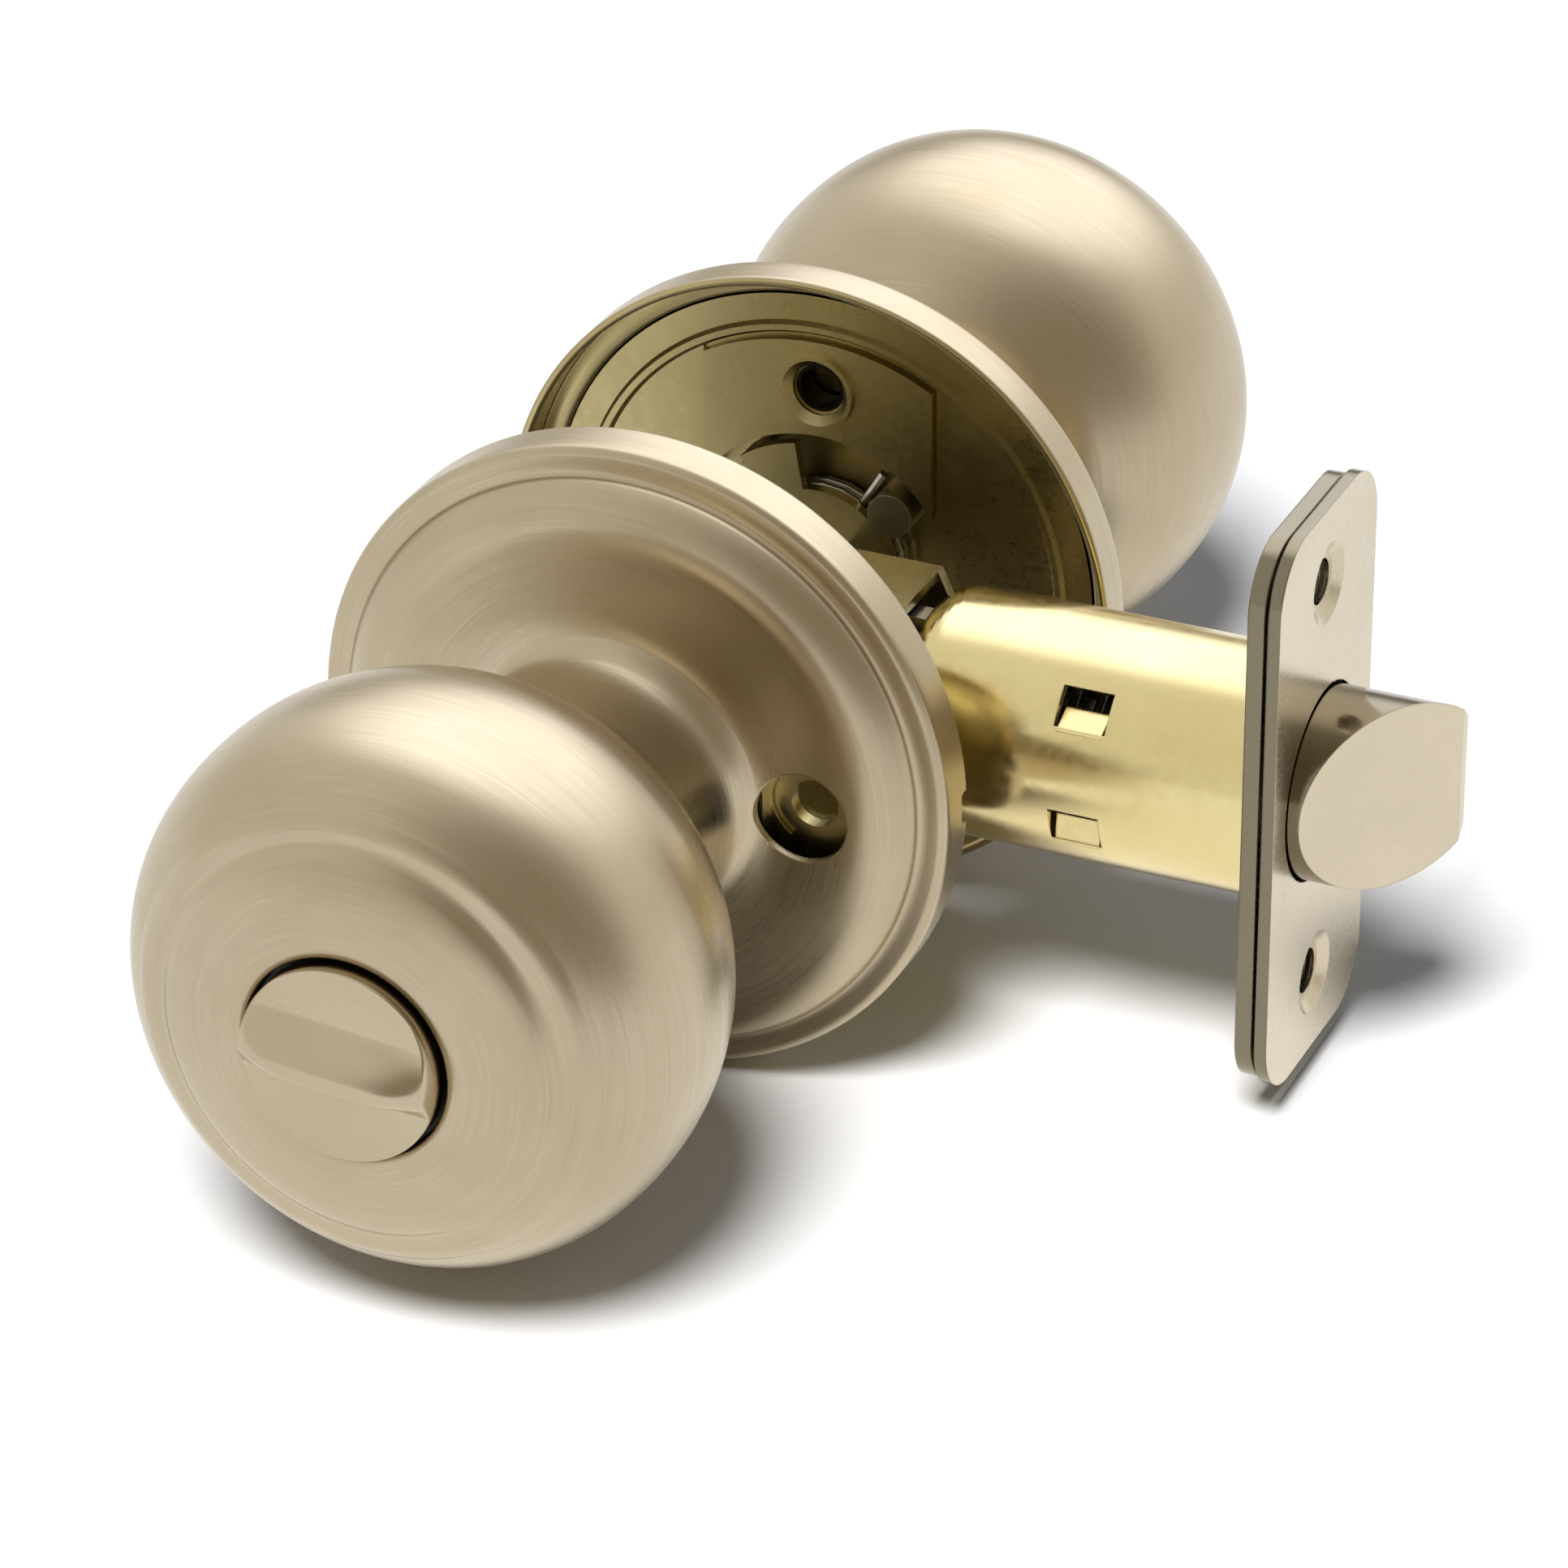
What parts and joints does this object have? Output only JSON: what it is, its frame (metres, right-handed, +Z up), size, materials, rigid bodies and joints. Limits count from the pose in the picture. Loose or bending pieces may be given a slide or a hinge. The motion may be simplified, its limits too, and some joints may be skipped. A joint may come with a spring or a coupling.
{
  "type": "door knob set",
  "caption": "Tubular privacy door knob set: two turned ball knobs on spun roses, a turn-button lock, and a spring latch with bevelled bolt and faceplate.",
  "frame": {"origin": "where the spindle axis crosses the latch axis, in the middle of the door thickness", "axes": "+Y along the spindle towards the outside knob, +X along the latch towards the door edge, +Z up"},
  "size_m": [0.1038, 0.1656, 0.064],
  "materials": {
    "satin_nickel": "fine turned satin nickel",
    "satin_plate": "fine satin with polished edges",
    "brass_plated": "dull yellow passivated zinc plate",
    "polished_brass": "bright brass plate",
    "cast_zinc": "cast and passivated",
    "plain_steel": "plain spring and strip steel",
    "black_nylon": "moulded",
    "white_nylon": "moulded"
  },
  "bodies": {
    "chassis": {"outside_rose": "satin_nickel", "outside_neck_bush": "white_nylon", "outside_mounting_plate": "brass_plated", "outside_spring_housing": "brass_plated", "outside_return_spring": "plain_steel", "outside_stop_peg": "cast_zinc", "faceplate": "satin_plate", "backing_plate": "satin_plate", "latch_case": "polished_brass", "bolt_guide": "black_nylon", "bolt_spring": "plain_steel", "spring_seat": "brass_plated", "front_side_plate": "brass_plated", "rear_side_plate": "brass_plated", "tail_rivets": "plain_steel"},
    "inside_trim": {"inside_rose": "satin_nickel", "inside_neck_bush": "white_nylon", "inside_mounting_plate": "brass_plated", "inside_spring_housing": "brass_plated", "inside_return_spring": "plain_steel", "inside_stop_peg": "cast_zinc"},
    "knobs": {"inside_knob": "satin_nickel", "inside_shank": "cast_zinc", "button_bush": "black_nylon", "inside_driver": "brass_plated", "inside_snap_ring": "plain_steel", "outside_knob": "satin_nickel", "outside_shank": "cast_zinc", "outside_driver": "brass_plated", "outside_snap_ring": "plain_steel", "spindle": "plain_steel", "spindle_pin": "plain_steel", "latch_hub": "cast_zinc"},
    "button": {"turn_button": "satin_nickel", "torque_blade": "plain_steel", "button_clip": "plain_steel", "lock_cam": "cast_zinc"},
    "dog": {"lock_dog": "plain_steel"},
    "bolt": {"latch_bolt": "satin_plate", "bolt_tail": "plain_steel", "retractor": "plain_steel", "retractor_pins": "plain_steel"}
  },
  "joints": [
    {"name": "knob_turn", "type": "hinge", "parent": "chassis", "child": "knobs", "pos_m": [0, 0, 0], "axis": [0, -1, 0], "range_deg": [0, 60], "stiffness_Nm_per_rad": 0.25, "deforming": ["inside_return_spring", "outside_return_spring", "bolt_spring"]},
    {"name": "bolt_slide", "type": "slide", "parent": "chassis", "child": "bolt", "axis": [-1, 0, 0], "range_m": [0, 0.0115]},
    {"name": "button_turn", "type": "hinge", "parent": "knobs", "child": "button", "pos_m": [0, 0, 0], "axis": [0, -1, 0], "range_deg": [0, 90]},
    {"name": "dog_slide", "type": "slide", "parent": "knobs", "child": "dog", "axis": [0, 0, 1], "range_m": [0, 0.0017]},
    {"name": "inside_rose_turn", "type": "hinge", "parent": "chassis", "child": "inside_trim", "pos_m": [0, 0, 0], "axis": [0, -1, 0], "range_deg": [0, 90]}
  ],
  "couplings": [
    {"joint": "bolt_slide", "follows": "knob_turn", "m_per_rad": 0.010982},
    {"joint": "dog_slide", "follows": "button_turn", "m_per_rad": 0.001082}
  ]
}
